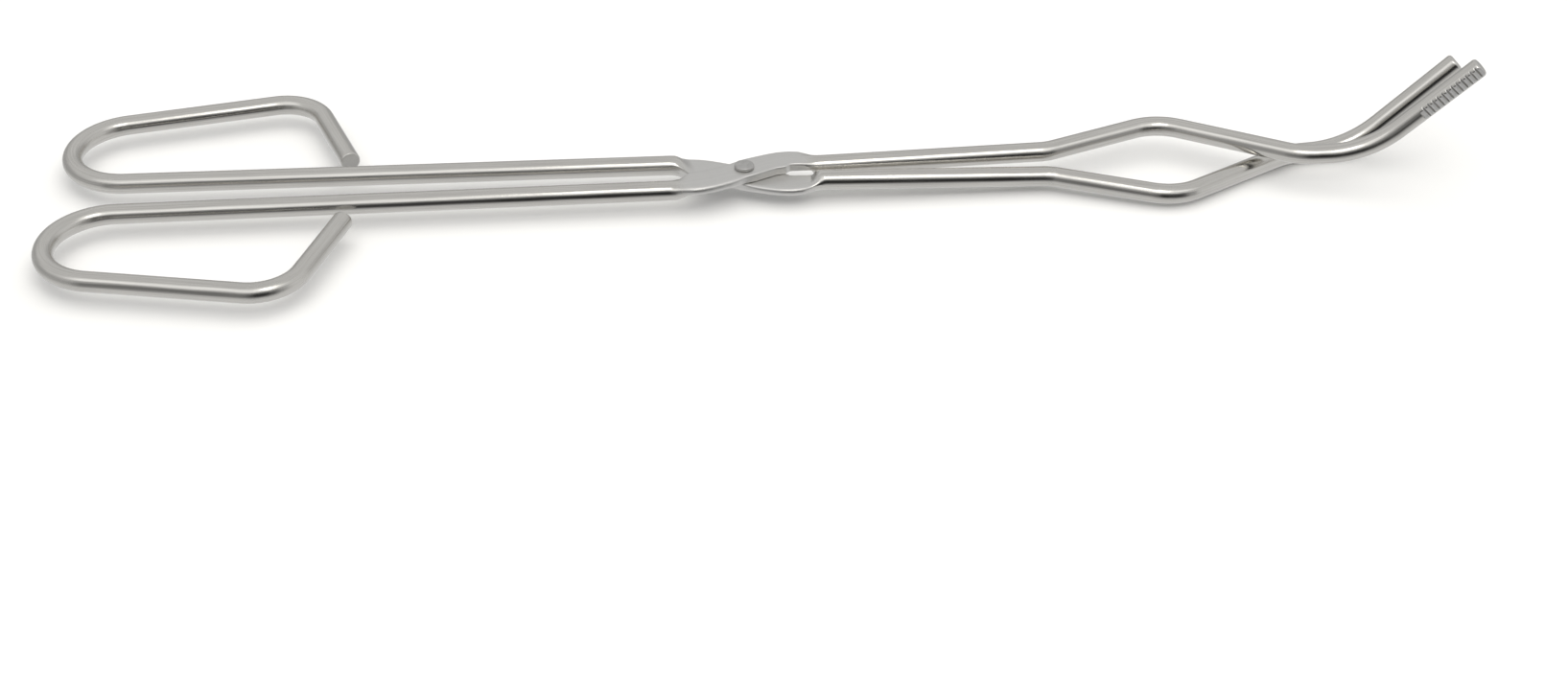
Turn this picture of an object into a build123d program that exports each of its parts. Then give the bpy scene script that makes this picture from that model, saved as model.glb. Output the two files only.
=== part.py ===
from build123d import *
from math import atan, cos, degrees, radians, sin
import os

os.makedirs("parts", exist_ok=True)

# Crucible tongs: two arms, each bent from one round rod, riveted together at a half lap.
# +X runs along the tongs towards the jaws, Y across them and +Z up.
# The origin is on the pivot axis, at the flat underside of the rivet's lower head.
# At rest the tongs are squeezed fully shut, so the jaws have slid past each other.

# ---------------------------------------------------------------- rod
rod_diameter = 6.0  # round bar that both arms are bent from
end_chamfer = 0.4  # broken edge of the sawn end in each finger loop

# ---------------------------------------------------------------- finger loops
handle_offset = 7.25  # tong axis to the centre of a handle shaft, at the lap's shoulder
shaft_splay = 0.45  # degrees that each handle shaft spreads from the tong axis
shaft_length = 185.1  # pivot to the centre of the loop's round turn
turn_radius = 17.9  # round turn at the back of the loop
loop_flare = 12.0  # degrees that the outer run spreads from the shaft
outer_run = 57.0  # round turn to the loop's corner
loop_mouth = 4.5  # open gap between the sawn end and the shaft
end_run_angle = 69.6  # degrees from the shaft to the end run
corner_radius = 14.0  # bend at the loop's corner

# ---------------------------------------------------------------- jaw rods
jaw_offset = 4.1  # tong axis to the centre of a jaw shaft
bow_start = 93.1  # pivot to the bend where the bow opens
bow_start_radius = 14.0
bow_peak = 129.5  # pivot to the widest point of the bow
bow_peak_offset = 17.1  # tong axis to the corner of the bow
bow_peak_radius = 16.4
neck = 169.0  # pivot to the bend where the rods run side by side again
neck_offset = -6.8  # past the tong axis, because the jaws have crossed
neck_radius = 20.0
elbow = 189.2  # pivot to the bend that lifts the tips
elbow_offset = -8.6
elbow_height = 0.7
elbow_radius = 31.0
tip_length = 41.7  # elbow to the end of the jaw
tip_rise = 43.8  # degrees that the tip stands up
tip_heading = -4.4  # degrees that the tip turns from the tong axis
tip_round = 1.1  # rounded edge at the end of the jaw
pass_clearance = 0.3  # between the two tips as they slide past each other

# ---------------------------------------------------------------- gripping teeth
grip_flat = 0.5  # depth of the flat pressed on the inner side of the tip
grip_margin = 1.6  # end of the jaw to the first tooth groove
groove_count = 12
groove_pitch = 1.7
groove_width = 1.0
groove_depth = 0.55

# ---------------------------------------------------------------- half lap and rivet
lap_width = 9.8  # rod pressed flat, so it spreads sideways
lobe_distance = 12.5  # pivot to the middle of each lobe of the flat
handle_lobe_offset = 5.8  # tong axis to the middle of the lobe on the handle side
lap_thickness = 2.75  # each flat, a little under half the rod
shoulder_gap = 0.7  # lobe to the shoulder where the full rod starts
shoulder_inset = 0.4  # flat's edge inside the rod's side, where it runs into the rod
lap_gap = 0.1  # between the two flats
lap_edge_round = 0.8
shank_radius = 1.9
head_radius = 3.0
head_height = 1.2
head_round = 0.5
foot_chamfer = 0.3
pivot_clearance = 0.05  # rivet shank in the upper arm
head_gap = 0.05  # upper head over the upper arm

# ---------------------------------------------------------------- worked out
rod_radius = rod_diameter / 2
mid_height = head_height + lap_thickness + lap_gap / 2
shoulder = lobe_distance + lap_width / 2 + shoulder_gap

# The end run stops short of the shaft, to leave the loop's mouth open.
flare_sine = sin(radians(loop_flare))
flare_cosine = cos(radians(loop_flare))
corner_drop = turn_radius * (1 + flare_cosine) + outer_run * flare_sine
sawn_end_drop = rod_radius + loop_mouth + rod_radius * cos(radians(end_run_angle))
end_run = (corner_drop - sawn_end_drop) / sin(radians(end_run_angle))

# Each jaw rod is sprung out of the lap's plane by this angle, the upper one up and the
# lower one down, so that the raised tips clear each other by pass_clearance.
passing_height = (rod_diameter + pass_clearance) / cos(radians(tip_rise))
arm_lift = degrees(atan(passing_height / 2 / (elbow - shoulder)))


def bend_arm(side, level):
    """One arm. side is +1 when its jaw lies towards +Y at the bow and its handle towards -Y,
    and level is +1 for the arm whose flat lies on top."""
    with BuildPart() as arm:
        # flat half of the lap: lobes beside the pivot, drawn in to the rod at both ends
        stations = [
            ((-shoulder, -side * handle_offset), rod_radius - shoulder_inset),
            ((-lobe_distance, -side * handle_lobe_offset), lap_width / 2),
            ((0, 0), lap_width / 2),
            ((lobe_distance, side * jaw_offset), lap_width / 2),
            ((shoulder, side * jaw_offset), rod_radius - shoulder_inset),
        ]
        with BuildSketch(Plane.XY.offset(mid_height + level * lap_gap / 2)):
            for (start, start_radius), (end, end_radius) in zip(stations, stations[1:]):
                with BuildSketch(mode=Mode.PRIVATE) as link:
                    with Locations(start):
                        Circle(start_radius)
                    with Locations(end):
                        Circle(end_radius)
                    make_hull()
                add(link.sketch)
        extrude(amount=level * lap_thickness)
        outer_face = arm.faces().sort_by(Axis.Z)[-1 if level > 0 else 0]
        fillet(outer_face.edges(), lap_edge_round)

        # handle shaft, round turn, flared outer run and the end run that closes the loop
        splayed = Vector(1, 0, 0).rotate(Axis.Z, side * shaft_splay)
        handle_plane = Plane(origin=(-shoulder, -side * handle_offset, mid_height), x_dir=splayed)
        with BuildLine(handle_plane) as handle_line:
            turn_start = shoulder - shaft_length
            shaft = Line((0, 0), (turn_start, 0))
            turn_centre = (turn_start, -side * turn_radius)
            turn = CenterArc(turn_centre, turn_radius, 90 * side, side * (180 - loop_flare))
            outer_direction = splayed.rotate(Axis.Z, -side * loop_flare)
            end_direction = splayed.rotate(Axis.Z, side * end_run_angle)
            corner = turn @ 1 + outer_direction * outer_run
            FilletPolyline(turn @ 1, corner, corner + end_direction * end_run, radius=corner_radius)
        handle_wire = handle_line.wire()
        with BuildSketch(Plane(origin=shaft @ 0, z_dir=shaft % 0)):
            Circle(rod_radius)
        sweep(path=handle_wire)
        loop_end = arm.faces().filter_by(GeomType.PLANE).sort_by_distance(handle_wire @ 1)[0]
        chamfer(loop_end.edges(), end_chamfer)

        # jaw rod: straight shaft, bow, neck and raised tip
        lift = Vector(1, 0, 0).rotate(Axis.Y, -level * arm_lift)
        lift_normal = Vector(0, 0, 1).rotate(Axis.Y, -level * arm_lift)
        jaw_plane = Plane(origin=(shoulder, 0, mid_height), x_dir=lift, z_dir=lift_normal)
        tip_vector = Vector(tip_length, 0).rotate(Axis.Y, -tip_rise).rotate(Axis.Z, side * tip_heading)
        elbow_point = Vector(elbow - shoulder, side * elbow_offset, elbow_height)
        with BuildLine(jaw_plane) as jaw_line:
            FilletPolyline(
                (0, side * jaw_offset),
                (bow_start - shoulder, side * jaw_offset),
                (bow_peak - shoulder, side * bow_peak_offset),
                (neck - shoulder, side * neck_offset),
                tuple(elbow_point),
                tuple(elbow_point + tip_vector),
                radius=[bow_start_radius, bow_peak_radius, neck_radius, elbow_radius],
            )
        jaw_wire = jaw_line.wire()
        with BuildSketch(Plane(origin=jaw_wire @ 0, z_dir=jaw_wire % 0)):
            Circle(rod_radius)
        sweep(path=jaw_wire)
        jaw_end = arm.faces().filter_by(GeomType.PLANE).sort_by_distance(jaw_wire @ 1)[0]
        fillet(jaw_end.edges(), tip_round)

        # flat with tooth grooves on the inner side of the tip
        tip_direction = jaw_wire % 1
        across = tip_direction.cross(Vector(0, -side, 0)).normalized()
        tooth_plane = Plane(origin=jaw_wire @ 1, x_dir=-tip_direction, z_dir=-across)
        flat_length = 2 * grip_margin + groove_pitch * (groove_count - 1)
        with BuildSketch(tooth_plane):
            with Locations((0, rod_radius - grip_flat)):
                Rectangle(flat_length, 2 * grip_flat, align=(Align.MIN, Align.MIN))
            with Locations((grip_margin, rod_radius - grip_flat)):
                with GridLocations(groove_pitch, 0, groove_count, 1, align=(Align.MIN, Align.CENTER)):
                    with BuildLine():
                        Polyline(
                            (-groove_width / 2, 0),
                            (0, -groove_depth),
                            (groove_width / 2, 0),
                            close=True,
                        )
                    make_face()
        extrude(amount=rod_diameter, both=True, mode=Mode.SUBTRACT)

        # rivet hole
        hole_radius = shank_radius + (pivot_clearance if level > 0 else 0)
        with BuildSketch(Plane.XY):
            Circle(hole_radius)
        extrude(amount=2 * mid_height, mode=Mode.SUBTRACT)
    return arm


upper_arm = bend_arm(side=1, level=1)
upper_arm.part.label = "upper_arm"
export_step(upper_arm.part, "parts/upper_arm.step")

lower_arm = bend_arm(side=-1, level=-1)
lower_arm.part.label = "lower_arm"
export_step(lower_arm.part, "parts/lower_arm.step")

# rivet: lower head, shank through both flats, upper head
upper_head = head_height + 2 * lap_thickness + lap_gap + head_gap
with BuildPart() as pivot_rivet:
    with BuildSketch(Plane.XY):
        Circle(head_radius)
    extrude(amount=head_height)
    chamfer(pivot_rivet.edges().sort_by(Axis.Z)[0], foot_chamfer)
    with BuildSketch(Plane.XY.offset(head_height)):
        Circle(shank_radius)
    extrude(amount=upper_head - head_height)
    with BuildSketch(Plane.XY.offset(upper_head)):
        Circle(head_radius)
    extrude(amount=head_height)
    fillet(pivot_rivet.edges().sort_by(Axis.Z)[-1], head_round)
pivot_rivet.part.label = "pivot_rivet"
export_step(pivot_rivet.part, "parts/pivot_rivet.step")
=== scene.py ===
import math

import bmesh
import bpy
import numpy as np
from mathutils import Matrix, Vector


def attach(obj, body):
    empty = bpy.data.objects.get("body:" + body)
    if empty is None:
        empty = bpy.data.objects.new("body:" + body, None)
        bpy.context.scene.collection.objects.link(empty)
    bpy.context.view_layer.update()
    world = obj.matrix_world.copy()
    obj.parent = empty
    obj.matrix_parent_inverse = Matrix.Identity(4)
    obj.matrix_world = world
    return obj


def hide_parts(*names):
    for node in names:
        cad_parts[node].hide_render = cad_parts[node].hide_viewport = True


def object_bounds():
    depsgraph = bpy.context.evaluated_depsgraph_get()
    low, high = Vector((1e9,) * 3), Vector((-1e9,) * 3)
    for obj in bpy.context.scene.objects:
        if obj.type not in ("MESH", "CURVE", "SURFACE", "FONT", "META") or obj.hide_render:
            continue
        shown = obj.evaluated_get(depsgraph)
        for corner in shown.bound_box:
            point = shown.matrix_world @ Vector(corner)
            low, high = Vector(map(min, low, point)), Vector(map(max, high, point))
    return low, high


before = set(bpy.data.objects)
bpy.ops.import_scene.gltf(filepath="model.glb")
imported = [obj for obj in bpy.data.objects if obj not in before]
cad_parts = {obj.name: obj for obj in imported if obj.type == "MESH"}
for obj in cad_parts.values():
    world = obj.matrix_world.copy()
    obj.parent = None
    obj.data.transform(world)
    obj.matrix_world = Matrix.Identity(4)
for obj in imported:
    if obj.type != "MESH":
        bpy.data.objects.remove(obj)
cad_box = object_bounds()

MM = 0.001  # every size below is in millimetres, and becomes metres with this

# ---------------------------------------------------------------- sizes, as in the CAD
ROD = 3.0  # radius of the bar
MID = 4.0  # height of the lap's mid-plane and of the rods
SHOULDER = 18.1  # pivot to where the straight rods start in the CAD
HANDLE_OFFSET = 7.25
SHAFT_SPLAY = 0.45
SHAFT_LENGTH = 185.1
TURN_RADIUS = 17.9
LOOP_FLARE = 12.0
OUTER_RUN = 57.0
LOOP_MOUTH = 4.5
END_RUN_ANGLE = 69.6
CORNER_RADIUS = 14.0
SAWN_CHAMFER = 0.4

JAW_OFFSET = 4.1
BOW_START, BOW_START_RADIUS = 93.1, 14.0
BOW_PEAK, BOW_PEAK_OFFSET, BOW_PEAK_RADIUS = 129.5, 17.1, 16.4
NECK, NECK_OFFSET, NECK_RADIUS = 169.0, -6.8, 20.0
ELBOW, ELBOW_OFFSET, ELBOW_HEIGHT, ELBOW_RADIUS = 189.2, -8.6, 0.7, 31.0
TIP_LENGTH, TIP_RISE, TIP_HEADING, TIP_ROUND = 41.7, 43.8, -4.4, 1.1
PASS_CLEARANCE = 0.3

GRIP_FLAT, GRIP_MARGIN = 0.5, 1.6
GROOVE_COUNT, GROOVE_PITCH, GROOVE_WIDTH, GROOVE_DEPTH = 12, 1.7, 1.0, 0.55
GRIP_LENGTH = 2 * GRIP_MARGIN + GROOVE_PITCH * (GROOVE_COUNT - 1)

FLAT_INNER = 0.05  # mid-plane to the mating face
FLAT_OUTER = 2.8  # mid-plane to the outer face
FLAT_ROUNDS = (0.55, 1.35)  # edge of the outer face: beside the tong axis, and away from it
MATING_ROUNDS = (0.22, 1.1)  # edge of the mating face, likewise
FACE_CROWN = 0.07  # how much lower the outer face is at its edges
LAP_STEP = 0.3  # between the rings of the lap
HOLE_RADIUS = {"upper_arm": 1.95, "lower_arm": 1.92}  # rivet hole in each flat

HEAD_RADIUS, SHANK_RADIUS = 3.0, 1.9
LOWER_HEAD_TOP, UPPER_HEAD_SEAT, UPPER_HEAD_TOP = 1.2, 6.85, 8.05

AROUND = 72  # points round the bar
TURN_STEPS = 96  # steps round the turn of a finger loop

# ---------------------------------------------------------------- centre lines


def turned(vector, axis, degrees):
    """vector turned about an axis, in degrees."""
    return np.array(Matrix.Rotation(math.radians(degrees), 3, axis) @ Vector(vector))


def run(start, end, step):
    """Points from start up to, but not including, end."""
    count = max(2, math.ceil(np.linalg.norm(end - start) / step))
    return [start + (end - start) * k / count for k in range(count)]


def bend(before, corner, after, radius, step):
    """Points of the arc of that radius that rounds a corner: first and last are its tangent points."""
    u = (before - corner) / np.linalg.norm(before - corner)
    v = (after - corner) / np.linalg.norm(after - corner)
    half = math.acos(float(np.clip(u @ v, -1, 1))) / 2
    middle = (u + v) / np.linalg.norm(u + v)
    centre = corner + middle * radius / math.sin(half)
    a = corner + u * radius / math.tan(half) - centre
    b = corner + v * radius / math.tan(half) - centre
    sweep = math.pi - 2 * half
    count = max(4, math.ceil(radius * sweep / step))
    arc = []
    for k in range(count + 1):
        towards_a, towards_b = math.sin(sweep * (1 - k / count)), math.sin(sweep * k / count)
        arc.append(centre + (a * towards_a + b * towards_b) / math.sin(sweep))
    return arc


def handle_line(side):
    """Centre line from the sawn end of the finger loop to the lap. side is +1 for the upper arm."""
    along = turned((1, 0, 0), "Z", side * SHAFT_SPLAY)
    out = turned((0, -side, 0), "Z", side * SHAFT_SPLAY)
    start = np.array((-SHOULDER, -side * HANDLE_OFFSET, MID))
    turn_start = start + along * (SHOULDER - SHAFT_LENGTH)
    centre = turn_start + out * TURN_RADIUS
    swept = math.radians(180 - LOOP_FLARE)
    turn = []
    for k in range(TURN_STEPS + 1):
        angle = swept * k / TURN_STEPS
        turn.append(centre - out * TURN_RADIUS * math.cos(angle) - along * TURN_RADIUS * math.sin(angle))
    flare = math.radians(LOOP_FLARE)
    corner = turn[-1] + turned(along, "Z", -side * LOOP_FLARE) * OUTER_RUN
    drop = TURN_RADIUS * (1 + math.cos(flare)) + OUTER_RUN * math.sin(flare)
    end_drop = ROD + LOOP_MOUTH + ROD * math.cos(math.radians(END_RUN_ANGLE))
    end_run = (drop - end_drop) / math.sin(math.radians(END_RUN_ANGLE))
    sawn_end = corner + turned(along, "Z", side * END_RUN_ANGLE) * end_run
    arc = bend(sawn_end, corner, turn[-1], CORNER_RADIUS, 0.5)
    lap_start = start - along * 6.0
    line = run(sawn_end, arc[0], 1.5) + arc[:-1] + run(arc[-1], turn[-1], 1.5)
    line += turn[::-1][:-1] + run(turn[0], lap_start, 2.5)
    return line


def jaw_lift():
    """Degrees that each jaw rod is sprung out of the lap's plane, so that the tips clear each other."""
    passing = (2 * ROD + PASS_CLEARANCE) / math.cos(math.radians(TIP_RISE))
    return math.degrees(math.atan(passing / 2 / (ELBOW - SHOULDER)))


def jaw_line(side, level):
    """Centre line from the lap to the end of the tip."""
    lift = -level * jaw_lift()
    tip = turned(turned((TIP_LENGTH, 0, 0), "Y", -TIP_RISE), "Z", side * TIP_HEADING)
    flat = [
        np.array((0, side * JAW_OFFSET, 0)),
        np.array((BOW_START - SHOULDER, side * JAW_OFFSET, 0)),
        np.array((BOW_PEAK - SHOULDER, side * BOW_PEAK_OFFSET, 0)),
        np.array((NECK - SHOULDER, side * NECK_OFFSET, 0)),
        np.array((ELBOW - SHOULDER, side * ELBOW_OFFSET, ELBOW_HEIGHT)),
    ]
    flat.append(flat[-1] + tip)
    base = np.array((SHOULDER, 0, MID))
    points = [base + turned(p, "Y", lift) for p in flat]
    line = []
    here = points[0] + (points[1] - points[0]) * 8.0 / np.linalg.norm(points[1] - points[0])
    radii = (BOW_START_RADIUS, BOW_PEAK_RADIUS, NECK_RADIUS, ELBOW_RADIUS)
    for k, radius in enumerate(radii):
        arc = bend(points[k], points[k + 1], points[k + 2], radius, 0.5)
        line += run(here, arc[0], 2.0) + arc[:-1]
        here = arc[-1]
    end = points[-1]
    direction = (end - here) / np.linalg.norm(end - here)
    teeth_start = end - direction * (GRIP_LENGTH + 0.4)
    line += run(here, teeth_start, 1.5) + run(teeth_start, end, 0.125) + [end]
    return line


# ---------------------------------------------------------------- half lap
# The two edges of the flat in plan, for the upper arm: distance along the tongs, then
# the edge on the +Y side and the edge on the -Y side. The lower arm mirrors them in Y.
EDGE_POSITIVE = (
    (-27, -4.32), (-21.5, -4.28), (-19.4, -4.05), (-18.2, -3.1), (-16.9, -1.75), (-15.5, -1.2),
    (-12.7, -0.7), (-9.85, 0.1), (-7, 1.25), (-4.1, 2.75), (-2, 4.05), (0, 5.3), (1.6, 6.1),
    (4.55, 7.3), (7.55, 8.3), (10.55, 9.1), (14.1, 9.4), (17, 9.0), (19.85, 8.0), (22, 7.3),
    (23.5, 7.12), (27, 7.1),
)
EDGE_NEGATIVE = (
    (-27, -10.32), (-23, -10.3), (-20.5, -10.45), (-18, -11.0), (-15.5, -11.3), (-12.7, -10.9),
    (-9.85, -10.1), (-7, -9.0), (-4.1, -7.75), (-2.2, -6.75), (0, -5.4), (3.7, -3.8), (6.8, -2.2),
    (9.8, -0.8), (11.8, -0.35), (12.9, -0.1), (13.7, 0.9), (14.6, 1.08), (27, 1.1),
)


def smooth_curve(points, x, spread):
    """The broken line through the points, averaged over spread on each side."""
    px, py = np.array(points, float).T
    offsets = np.linspace(-1, 1, 21)
    weights = (1 - offsets**2) ** 2
    return sum(w * np.interp(x + spread * o, px, py) for o, w in zip(offsets, weights)) / weights.sum()


def ease(x, start, end):
    """0 at start, 1 at end, and smooth between. end may be less than start."""
    t = np.clip((x - start) / (end - start), 0, 1)
    return t * t * (3 - 2 * t)


def flat_outline(half_width, outward):
    """The pressed section, point by point as round the bar: sideways and outwards from the mid-plane.
    outward is 1 where the +u edge is the one away from the tong axis, and 0 where it is the other."""
    # Shares of the points from each edge to the middle: up the side, and to the end of each round.
    side_end, round_end, mating_end = 0.2, 0.55, 0.35
    u, v = np.zeros(AROUND), np.zeros(AROUND)
    for k in range(AROUND):
        turn = k / AROUND * 2
        outer = turn < 1 or k == 0
        part = turn if outer else turn - 1
        g = 2 * min(part, 1 - part)
        sign = (1 if part < 0.5 else -1) if outer else (-1 if part < 0.5 else 1)
        away = outward if sign > 0 else 1 - outward
        face_round = FLAT_ROUNDS[0] + (FLAT_ROUNDS[1] - FLAT_ROUNDS[0]) * away
        mating_round = MATING_ROUNDS[0] + (MATING_ROUNDS[1] - MATING_ROUNDS[0]) * away
        if outer:
            if g < side_end:
                low, high = FLAT_INNER + mating_round, FLAT_OUTER - face_round
                u[k], v[k] = half_width, low + (high - low) * g / side_end
            elif g < round_end:
                angle = (g - side_end) / (round_end - side_end) * math.pi / 2
                u[k] = half_width - face_round * (1 - math.cos(angle))
                v[k] = FLAT_OUTER - face_round * (1 - math.sin(angle))
            else:
                u[k] = (half_width - face_round) * (1 - (g - round_end) / (1 - round_end))
                v[k] = FLAT_OUTER
            v[k] -= FACE_CROWN * (u[k] / half_width) ** 2
        elif g < mating_end:
            angle = g / mating_end * math.pi / 2
            u[k] = half_width - mating_round * (1 - math.cos(angle))
            v[k] = FLAT_INNER + mating_round * (1 - math.sin(angle))
        else:
            u[k] = (half_width - mating_round) * (1 - (g - mating_end) / (1 - mating_end))
            v[k] = FLAT_INNER
        u[k] *= sign
    return u, v


def lap_rings(side, level):
    """Rings of the half lap, from the handle side to the jaw side, and how far each point is pressed flat."""
    rings, pressed = [], []
    angle = np.arange(AROUND) / AROUND * 2 * math.pi
    climb = math.tan(math.radians(jaw_lift()))
    for x in np.arange(-23.8, 25.8, LAP_STEP):
        positive = float(smooth_curve(EDGE_POSITIVE, x, 1.1))
        negative = float(smooth_curve(EDGE_NEGATIVE, x, 1.1 if x < 11 else 0.7))
        centre, half = (positive + negative) / 2, (positive - negative) / 2
        flat_u, flat_v = flat_outline(half, float(ease(x, -5, 5)))
        outwards = -1 if x < 0 else 1  # the side away from the tong axis, seen on the upper arm
        lean = outwards * np.cos(angle)
        if x < 0:
            outer = ease(x, -22.5, -16.5)
            mating = ease(x, -21.2 + 0.4 * lean, -14.6 - 0.8 * lean)
        else:
            outer = ease(x, 22.5, 16.5)
            mating = ease(x, 23.1 + 1.5 * lean, 19.4 - 0.8 * lean)
        top = np.sin(angle) >= -1e-9
        w = np.where(top, outer, mating)
        spread = ease(abs(x), 23.5, 17.0)
        u = (1 - spread) * half * np.cos(angle) + spread * flat_u
        v = (1 - w) * ROD * np.sin(angle) + w * flat_v
        middle = MID + level * climb * max(0.0, x - SHOULDER)
        ring = np.stack((np.full(AROUND, x), side * (centre + u), middle + level * v), 1)
        rings.append(ring)
        pressed.append(w)
    return rings, pressed


# ---------------------------------------------------------------- one bent arm


def carried_axes(line, up, previous):
    """Points and tangents of a line that starts at the lap, and the sideways and outward vectors at
    each point, carried along without twist from the vectors up and previous."""
    points = np.array(line)
    tangents = np.gradient(points, axis=0)
    tangents /= np.linalg.norm(tangents, axis=1)[:, None]
    axes = []
    for tangent in tangents:
        up = up - tangent * (up @ tangent)
        up = up / np.linalg.norm(up)
        across = np.cross(tangent, up)
        if across @ previous < 0:
            across = -across
        previous = across
        axes.append((across, up))
    return points, tangents, axes


def bend_marks(points):
    """How sharply a line bends at each of its points, from 0 to 1, for the marks left by bending."""
    curve = np.zeros(len(points))
    for k in range(1, len(points) - 1):
        a, b = points[k] - points[k - 1], points[k + 1] - points[k]
        length = np.linalg.norm(a)
        curve[k] = np.linalg.norm(np.cross(a, b)) / (length * np.linalg.norm(b)) / length
    return np.convolve(np.minimum(curve * 15, 1), np.ones(9) / 9, "same")


class Skin:
    """The rings of one arm, from the sawn end to the tip, with the marks that its material reads."""

    def __init__(self):
        angle = np.arange(AROUND) / AROUND * 2 * math.pi
        self.cos, self.sin = np.cos(angle), np.sin(angle)
        self.rings = []
        self.marks = {"pressed": [], "sawn": [], "toothed": [], "bent": []}

    def add(self, ring, **values):
        self.rings.append(ring)
        for label, store in self.marks.items():
            store.append(np.broadcast_to(np.asarray(values.get(label, 0.0), float), (AROUND,)))

    def add_round(self, point, radius, across, up, **values):
        """A ring of that radius, or of one radius for each of its points, round a point."""
        spokes = self.cos[:, None] * across + self.sin[:, None] * up
        self.add(point + np.broadcast_to(radius, (AROUND,))[:, None] * spokes, **values)

    def mesh(self, name):
        """The closed mesh through the rings, with the marks and the drawn grain as attributes."""
        cloud = np.array(self.rings)
        count = len(cloud)
        steps = np.linalg.norm(np.diff(cloud.mean(1), axis=0), axis=1)
        along = np.concatenate(((0.0,), np.cumsum(steps)))
        faces = []
        for i in range(count - 1):
            for k in range(AROUND):
                a, b = i * AROUND + k, i * AROUND + (k + 1) % AROUND
                faces.append((a, b, b + AROUND, a + AROUND))
        faces.append(tuple(range(AROUND))[::-1])
        faces.append(tuple((count - 1) * AROUND + k for k in range(AROUND)))
        mesh = bpy.data.meshes.new(name)
        mesh.from_pydata([tuple(v) for v in cloud.reshape(-1, 3) * MM], [], faces)
        mesh.update()
        grain = np.stack((np.repeat(along, AROUND), np.tile(self.cos, count), np.tile(self.sin, count)), 1)
        layer = mesh.attributes.new("grain", "FLOAT_VECTOR", "POINT")
        layer.data.foreach_set("vector", grain.astype(np.float32).ravel())
        for label, store in self.marks.items():
            layer = mesh.attributes.new(label, "FLOAT", "POINT")
            layer.data.foreach_set("value", np.array(store).astype(np.float32).ravel())
        return mesh


def add_handle(skin, side, outward, sideways):
    """The sawn end, the finger loop and the handle shaft."""
    points, _, axes = carried_axes(handle_line(side)[::-1], outward, sideways)
    points, axes = points[::-1], axes[::-1]
    start, ahead = points[0], points[1] - points[0]
    ahead = ahead / np.linalg.norm(ahead)
    for share in (0.02, 0.25, 0.5, 0.75, 0.95):
        skin.add_round(start, (ROD - SAWN_CHAMFER) * share, *axes[0], sawn=1.0)
    # depth behind the sawn face, how far the radius is short of the bar's, and the sawn finish there
    edge = ((0.0, SAWN_CHAMFER, 1.0), (0.12, 0.24, 0.8), (0.28, 0.08, 0.4), (0.55, 0.0, 0.0))
    for depth, short, sawn in edge:
        skin.add_round(start + ahead * depth, ROD - short, *axes[0], sawn=sawn)
    bent = bend_marks(points)
    for k in range(1, len(points)):
        skin.add_round(points[k], ROD, *axes[k], bent=bent[k])


def add_jaw(skin, side, level, outward, sideways):
    """The jaw rod and its rounded tip, with the flat and the tooth grooves on its inner side."""
    points, tangents, axes = carried_axes(jaw_line(side, level), outward, sideways)
    steps = np.linalg.norm(np.diff(points, axis=0), axis=1)
    to_end = np.concatenate((np.cumsum(steps[::-1])[::-1], (0.0,)))
    inner = np.array((0, -float(side), 0))
    inner = inner - tangents[-1] * (inner @ tangents[-1])
    inner /= np.linalg.norm(inner)
    bent = bend_marks(points)
    for point, (across, up), d, bend_mark in zip(points[:-1], axes[:-1], to_end[:-1], bent[:-1]):
        radius = np.full(AROUND, ROD)
        if d < TIP_ROUND:
            radius[:] = ROD - TIP_ROUND + math.sqrt(max(TIP_ROUND**2 - (TIP_ROUND - d) ** 2, 0.0))
        toothed = np.zeros(AROUND)
        if d < GRIP_LENGTH:
            from_first = (d - GRIP_MARGIN) / GROOVE_PITCH
            nearest = min(max(round(from_first), 0), GROOVE_COUNT - 1)
            off = abs(from_first - nearest) * GROOVE_PITCH
            groove = GROOVE_DEPTH * float(ease(off, GROOVE_WIDTH / 2, 0.0))
            facing = skin.cos * (across @ inner) + skin.sin * (up @ inner)
            limit = np.where(facing > 0.2, (ROD - GRIP_FLAT - groove) / np.maximum(facing, 0.2), 99)
            # toothed is near 1 at the groove bottoms, where the material paints shade as a darker colour
            toothed = np.where(limit < radius, groove / GROOVE_DEPTH * 0.85 + 0.15, 0.0)
            radius = np.minimum(radius, limit)
        sawn = 0.6 * (1 - ease(d, 0.3, 1.2))
        skin.add_round(point, radius, across, up, toothed=toothed, sawn=sawn, bent=bend_mark)
    across, up = axes[-1]
    facing = skin.cos * (across @ inner) + skin.sin * (up @ inner)
    end_radius = np.minimum(ROD - TIP_ROUND, (ROD - GRIP_FLAT) / np.maximum(facing, 0.2))
    for share in (1.0, 0.8, 0.6, 0.4, 0.2, 0.02):
        skin.add_round(points[-1], end_radius * share, across, up, sawn=0.7)


def placed(name, mesh):
    """A new object of that name and mesh, in the scene."""
    piece = bpy.data.objects.new(name, mesh)
    bpy.context.scene.collection.objects.link(piece)
    return piece


def arm_piece(name, side, level):
    """One arm as a closed skin round its centre line. side and level are 1 for the upper arm and -1
    for the lower one."""
    # The points of every ring run from the side that the lap calls sideways, over the
    # outer face, so that the rings of rod and lap join without a twist.
    outward = np.array((0, 0, float(level)))
    sideways = np.array((0, float(side), 0))
    skin = Skin()
    add_handle(skin, side, outward, sideways)
    for ring, pressed in zip(*lap_rings(side, level)):
        skin.add(ring, pressed=pressed)
    add_jaw(skin, side, level, outward, sideways)
    return placed(name, skin.mesh(name))


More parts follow.
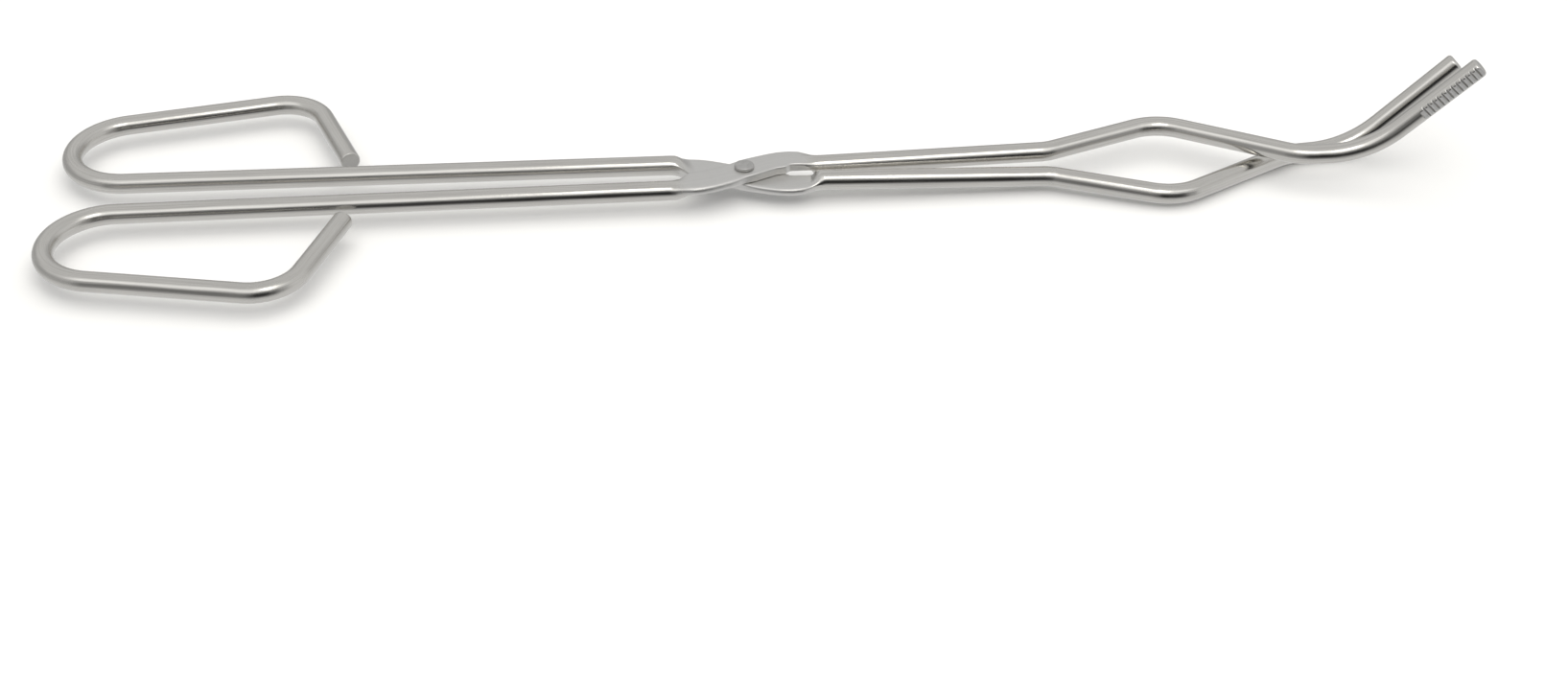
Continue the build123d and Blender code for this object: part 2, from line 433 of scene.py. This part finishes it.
def drill(piece, radius):
    """Cuts the upright rivet hole of that radius through an arm's flat."""
    r = radius * MM
    b = bmesh.new()
    bmesh.ops.create_cone(b, cap_ends=True, segments=64, radius1=r, radius2=r, depth=30 * MM)
    mesh = bpy.data.meshes.new("rivet_hole")
    b.to_mesh(mesh)
    b.free()
    cutter = placed("rivet_hole", mesh)
    cut = piece.modifiers.new("rivet_hole", "BOOLEAN")
    cut.operation = "DIFFERENCE"
    cut.solver = "EXACT"
    cut.object = cutter
    bpy.context.view_layer.update()
    drilled = bpy.data.meshes.new_from_object(piece.evaluated_get(bpy.context.evaluated_depsgraph_get()))
    piece.modifiers.clear()
    piece.data = drilled
    bpy.data.objects.remove(cutter)


def face_outwards(piece):
    """Turns the faces of a closed mesh outwards and shades it smooth, with its sharp edges kept."""
    b = bmesh.new()
    b.from_mesh(piece.data)
    bmesh.ops.recalc_face_normals(b, faces=b.faces)
    b.to_mesh(piece.data)
    b.free()
    piece.data.shade_smooth()
    piece.data.set_sharp_from_angle(angle=math.radians(40))


# ---------------------------------------------------------------- rivet


def rivet_profile():
    """Radius and height of the rivet's outline, from the middle of the foot to the middle of the top:
    foot, shank and a nearly flat head with a rolled edge."""
    profile = [(0.0, 0.0), (1.5, 0.0), (2.62, 0.0), (2.75, 0.02), (2.9, 0.12), (2.98, 0.26)]
    profile += [(HEAD_RADIUS, 0.4), (HEAD_RADIUS, 0.9), (2.97, 1.08), (2.88, 1.17), (2.75, LOWER_HEAD_TOP)]
    profile += [(SHANK_RADIUS, LOWER_HEAD_TOP), (SHANK_RADIUS, UPPER_HEAD_SEAT)]
    profile += [(2.8, UPPER_HEAD_SEAT), (2.92, 6.87), (2.985, 6.95), (HEAD_RADIUS, 7.06), (HEAD_RADIUS, 7.35)]
    for k in range(1, 9):
        a = k / 9 * math.pi / 2 * 0.9
        profile.append((2.5 + 0.5 * math.cos(a), 7.35 + 0.5 * math.sin(a)))
    edge_r, edge_z = profile[-1]
    for k in range(1, 12):
        r = edge_r * (1 - k / 12)
        profile.append((r, edge_z + (UPPER_HEAD_TOP - edge_z) * (1 - (r / edge_r) ** 2)))
    profile.append((0.0, UPPER_HEAD_TOP))
    return profile


def rivet_piece(name):
    """The rivet, turned from its profile."""
    profile = rivet_profile()
    around = 96
    vertices, faces = [], []
    for r, z in profile[1:-1]:
        for k in range(around):
            a = 2 * math.pi * k / around
            vertices.append((r * math.cos(a) * MM, r * math.sin(a) * MM, z * MM))
    rings = len(profile) - 2
    for i in range(rings - 1):
        for k in range(around):
            a, b = i * around + k, i * around + (k + 1) % around
            faces.append((a, b, b + around, a + around))
    bottom, top = len(vertices), len(vertices) + 1
    vertices += [(0, 0, 0), (0, 0, UPPER_HEAD_TOP * MM)]
    last = (rings - 1) * around
    for k in range(around):
        faces.append((bottom, (k + 1) % around, k))
        faces.append((top, last + k, last + (k + 1) % around))
    mesh = bpy.data.meshes.new(name)
    mesh.from_pydata(vertices, [], faces)
    mesh.update()
    return placed(name, mesh)


# ---------------------------------------------------------------- materials


class Nodes:
    """Short calls for building the nodes of a material or of the world."""

    def __init__(self, owner, kind="BSDF_PRINCIPLED"):
        owner.use_nodes = True
        self.owner = owner
        self.tree = owner.node_tree
        self.shader = next(n for n in self.tree.nodes if n.type == kind)

    def link(self, source, target):
        if isinstance(source, (int, float, tuple)):
            target.default_value = source
        else:
            self.tree.links.new(source, target)

    def attribute(self, name, output="Fac"):
        node = self.tree.nodes.new("ShaderNodeAttribute")
        node.attribute_name = name
        return node.outputs[output]

    def coordinates(self):
        return self.tree.nodes.new("ShaderNodeTexCoord").outputs["Object"]

    def scaled(self, vector, scale):
        node = self.tree.nodes.new("ShaderNodeVectorMath")
        node.operation = "MULTIPLY"
        self.link(vector, node.inputs[0])
        node.inputs[1].default_value = scale
        return node.outputs["Vector"]

    def noise(self, vector, scale, detail=3.0, roughness=0.55, distortion=0.0):
        node = self.tree.nodes.new("ShaderNodeTexNoise")
        self.link(vector, node.inputs["Vector"])
        node.inputs["Scale"].default_value = scale
        node.inputs["Detail"].default_value = detail
        node.inputs["Roughness"].default_value = roughness
        node.inputs["Distortion"].default_value = distortion
        return node.outputs["Fac"]

    def fit(self, value, low, high, to_low=0.0, to_high=1.0, smooth=False):
        node = self.tree.nodes.new("ShaderNodeMapRange")
        if smooth:
            node.interpolation_type = "SMOOTHSTEP"
        self.link(value, node.inputs["Value"])
        node.inputs["From Min"].default_value = low
        node.inputs["From Max"].default_value = high
        node.inputs["To Min"].default_value = to_low
        node.inputs["To Max"].default_value = to_high
        return node.outputs["Result"]

    def math(self, operation, a, b=0.0, clamp=False):
        node = self.tree.nodes.new("ShaderNodeMath")
        node.operation = operation
        node.use_clamp = clamp
        self.link(a, node.inputs[0])
        self.link(b, node.inputs[1])
        return node.outputs[0]

    def mix(self, factor, a, b):
        node = self.tree.nodes.new("ShaderNodeMix")
        node.data_type = "FLOAT"
        self.link(factor, node.inputs[0])
        self.link(a, node.inputs[2])
        self.link(b, node.inputs[3])
        return node.outputs[0]

    def blend(self, factor, a, b):
        node = self.tree.nodes.new("ShaderNodeMix")
        node.data_type = "RGBA"
        self.link(factor, node.inputs[0])
        self.link(a, node.inputs[6])
        self.link(b, node.inputs[7])
        return node.outputs[2]

    def bump(self, height, distance, strength, normal=None):
        node = self.tree.nodes.new("ShaderNodeBump")
        node.inputs["Distance"].default_value = distance
        node.inputs["Strength"].default_value = strength
        self.link(height, node.inputs["Height"])
        if normal is not None:
            self.link(normal, node.inputs["Normal"])
        return node.outputs["Normal"]


def arm_steel():
    """Drawn stainless bar: lines along its length, satin where it is pressed, dull at the sawn ends."""
    n = Nodes(bpy.data.materials.new("arm_steel_drawn"))
    grain = n.attribute("grain", "Vector")
    place = n.coordinates()
    pressed = n.attribute("pressed")
    sawn = n.attribute("sawn")
    toothed = n.attribute("toothed")
    bent = n.attribute("bent")

    drawn = n.noise(n.scaled(grain, (0.035, 9.0, 9.0)), 1.0, detail=4.0, roughness=0.7)
    fine = n.noise(n.scaled(grain, (0.16, 34.0, 34.0)), 1.0, detail=2.0, roughness=0.6)
    waves = n.noise(n.scaled(grain, (0.045, 0.8, 0.8)), 1.0, detail=1.0)
    smudge = n.noise(place, 30.0, detail=4.0, roughness=0.62, distortion=0.4)
    speck = n.noise(place, 2600.0, detail=2.0, roughness=0.6)
    mottle = n.noise(place, 420.0, detail=3.0, roughness=0.6)
    dents = n.noise(place, 260.0, detail=1.5, roughness=0.5)

    tone = n.fit(drawn, 0.3, 0.7)
    colour = n.blend(tone, (0.56, 0.545, 0.515, 1), (0.72, 0.705, 0.67, 1))
    colour = n.blend(n.fit(smudge, 0.45, 0.75, 0.0, 0.35), colour, (0.57, 0.56, 0.535, 1))
    colour = n.blend(n.math("MULTIPLY", pressed, 0.75), colour, (0.72, 0.715, 0.70, 1))
    colour = n.blend(n.math("MULTIPLY", sawn, 0.6), colour, (0.62, 0.615, 0.60, 1))
    colour = n.blend(n.fit(toothed, 0.0, 0.15), colour, (0.76, 0.755, 0.74, 1))
    # painted shade: the bottoms of the tooth grooves are darkened, more where the groove is deeper
    colour = n.blend(n.fit(toothed, 0.55, 1.0, 0.0, 0.6), colour, (0.36, 0.35, 0.335, 1))
    n.link(colour, n.shader.inputs["Base Color"])

    rough = n.fit(smudge, 0.3, 0.75, 0.12, 0.22)
    rough = n.math("ADD", rough, n.fit(fine, 0.3, 0.7, -0.025, 0.035))
    rough = n.math("ADD", rough, n.math("MULTIPLY", bent, n.fit(dents, 0.35, 0.65, 0.03, 0.12)))
    rough = n.mix(pressed, rough, n.fit(mottle, 0.3, 0.7, 0.34, 0.44))
    rough = n.mix(sawn, rough, 0.5)
    rough = n.mix(n.fit(toothed, 0.0, 0.15), rough, 0.46)
    n.link(rough, n.shader.inputs["Roughness"])
    n.shader.inputs["Metallic"].default_value = 1.0

    height = n.math("MULTIPLY", drawn, 0.5)
    height = n.math("ADD", height, n.math("MULTIPLY", fine, 0.5))
    normal = n.bump(waves, 0.0006, 0.14)
    normal = n.bump(n.math("MULTIPLY", dents, bent), 0.00025, 0.35, normal)
    normal = n.bump(height, 0.00003, 0.5, normal)
    grit = n.math("MULTIPLY", speck, n.math("MAXIMUM", pressed, sawn))
    normal = n.bump(grit, 0.00003, 0.6, normal)
    n.link(normal, n.shader.inputs["Normal"])
    return n.owner


def rivet_steel():
    """Satin rivet, a little duller than the bar, with the fine marks of the rivet set."""
    n = Nodes(bpy.data.materials.new("rivet_steel_satin"))
    place = n.coordinates()
    mottle = n.noise(place, 700.0, detail=3.0)
    speck = n.noise(place, 3200.0, detail=2.0)
    colour = n.blend(n.fit(mottle, 0.35, 0.7), (0.60, 0.595, 0.58, 1), (0.52, 0.515, 0.50, 1))
    n.link(colour, n.shader.inputs["Base Color"])
    n.link(n.fit(mottle, 0.3, 0.7, 0.42, 0.54), n.shader.inputs["Roughness"])
    n.shader.inputs["Metallic"].default_value = 1.0
    n.link(n.bump(speck, 0.00003, 0.6), n.shader.inputs["Normal"])
    return n.owner


# ---------------------------------------------------------------- pieces
arm_material = arm_steel()
rivet_material = rivet_steel()
for body, side, level in (("upper_arm", 1, 1), ("lower_arm", -1, -1)):
    arm = arm_piece(body + "_rod", side, level)
    arm.data.materials.append(arm_material)
    face_outwards(arm)
    drill(arm, HOLE_RADIUS[body])
    face_outwards(arm)
    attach(arm, body)
    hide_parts(body)

rivet = rivet_piece("pivot_rivet_head")
rivet.data.materials.append(rivet_material)
face_outwards(rivet)
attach(rivet, "lower_arm")
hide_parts("pivot_rivet")

# ---------------------------------------------------------------- floor
HALF_FLOOR = 2.5  # metres
corners = [(x * HALF_FLOOR, y * HALF_FLOOR, cad_box[0].z) for x, y in ((-1, -1), (1, -1), (1, 1), (-1, 1))]
mesh = bpy.data.meshes.new("floor")
mesh.from_pydata(corners, [], [(0, 1, 2, 3)])
floor = placed("floor", mesh)
paper = Nodes(bpy.data.materials.new("floor_paper"))
paper.shader.inputs["Base Color"].default_value = (0.93, 0.93, 0.925, 1)
paper.shader.inputs["Roughness"].default_value = 0.9
paper.shader.inputs["Specular IOR Level"].default_value = 0.1
floor.data.materials.append(paper.owner)
floor.visible_glossy = False  # what the steel mirrors from below comes from the studio's own gradient

# ---------------------------------------------------------------- light


def softbox(name, place, aim, width, height, radiance):
    """A rectangular soft light, in metres, facing aim. The camera doesn't see the light itself."""
    light = bpy.data.lights.new(name, "AREA")
    light.shape = "RECTANGLE"
    light.size, light.size_y = width, height
    light.energy = radiance * math.pi * width * height
    light.color = (1.0, 0.975, 0.92)
    lamp = placed(name, light)
    lamp.location = place
    lamp.rotation_euler = (Vector(aim) - Vector(place)).to_track_quat("-Z", "Y").to_euler()
    lamp.visible_camera = False
    return lamp


softbox("key_softbox", (0.095, -0.42, 0.60), aim=(0.08, 0.0, 0.0), width=0.27, height=0.24, radiance=2.6)
fill = softbox("overhead_fill", (0.0, 0.1, 1.6), aim=(0.0, 0.0, 0.0), width=2.4, height=2.4, radiance=0.95)
fill.visible_glossy = False

# The room is pale overhead, behind and below, dark towards the front near the horizon, with a
# soft glow high up at the front and a dimmer band all round the horizon, except on the right.
DARK_DEPTH = 0.44  # how much the front's dark band takes away
HORIZON_DEPTH = 0.28  # how much the band round the horizon takes away
GLOW_STRENGTH = 0.52
SEEN_STRENGTH = 0.93  # brightness of the room where the camera itself sees it

world = bpy.data.worlds.new("studio")
bpy.context.scene.world = world
w = Nodes(world, "BACKGROUND")
parts = w.tree.nodes.new("ShaderNodeSeparateXYZ")
w.link(w.tree.nodes.new("ShaderNodeTexCoord").outputs["Generated"], parts.inputs[0])
east, north, height = (parts.outputs[name] for name in "XYZ")
south = w.math("MULTIPLY", north, -1.0)


def product(*factors):
    """All the factors multiplied together."""
    result = factors[0]
    for factor in factors[1:]:
        result = w.math("MULTIPLY", result, factor)
    return result


dark = product(
    w.fit(south, 0.3, 0.7, 0.0, 1.0, smooth=True),
    w.fit(height, 0.4, 0.58, 1.0, 0.0, smooth=True),
    w.fit(height, -0.7, -0.28, 0.12, 1.0, smooth=True),
    w.fit(w.math("ABSOLUTE", east), 0.5, 0.78, 1.0, 0.2, smooth=True),
    w.fit(east, -0.32, -0.04, 0.6, 1.0, smooth=True),
)
horizon = product(
    w.fit(height, 0.12, 0.5, 1.0, 0.0, smooth=True),
    w.fit(height, -0.5, -0.15, 0.0, 1.0, smooth=True),
    w.fit(east, 0.8, 0.92, 1.0, 0.0, smooth=True),
)
glow = product(
    w.fit(south, 0.1, 0.45, 0.0, 1.0, smooth=True),
    w.fit(height, 0.5, 0.66, 0.0, 1.0, smooth=True),
    w.fit(height, 0.8, 0.97, 1.0, 0.0, smooth=True),
)
room = w.fit(height, -0.2, 0.9, 0.75, 0.68, smooth=True)
room = w.math("SUBTRACT", room, product(dark, DARK_DEPTH), clamp=True)
room = w.math("SUBTRACT", room, product(horizon, HORIZON_DEPTH), clamp=True)
room = w.math("ADD", room, product(glow, GLOW_STRENGTH))
seen = w.tree.nodes.new("ShaderNodeLightPath").outputs["Is Camera Ray"]
w.link(w.mix(seen, room, SEEN_STRENGTH), w.shader.inputs["Strength"])
w.shader.inputs["Color"].default_value = (1.0, 1.0, 1.0, 1)

# ---------------------------------------------------------------- camera
LENS, SENSOR = 53.342, 36.0
ELEVATION, AZIMUTH, ROLL = 35.058, 5.303, 0.578
DISTANCE, SHIFT_RIGHT, SHIFT_UP = 703.55, 12.044, -45.727

az, el, roll = (math.radians(v) for v in (AZIMUTH, ELEVATION, ROLL))
forward = Vector((math.sin(az) * math.cos(el), math.cos(az) * math.cos(el), -math.sin(el)))
level_right = Vector((math.cos(az), -math.sin(az), 0))
level_up = level_right.cross(forward)
right = level_right * math.cos(roll) + level_up * math.sin(roll)
up = level_up * math.cos(roll) - level_right * math.sin(roll)
camera_data = bpy.data.cameras.new("camera")
camera_data.sensor_width = SENSOR
camera_data.lens = LENS
camera_data.clip_start = 0.01
camera_data.clip_end = 20.0
camera = placed("camera", camera_data)
place = (-forward * DISTANCE + right * SHIFT_RIGHT + up * SHIFT_UP) * MM
turn = Matrix((right, up, -forward)).transposed().to_4x4()
camera.matrix_world = Matrix.Translation(place) @ turn
bpy.context.scene.camera = camera
bpy.context.scene.view_settings.view_transform = "Standard"
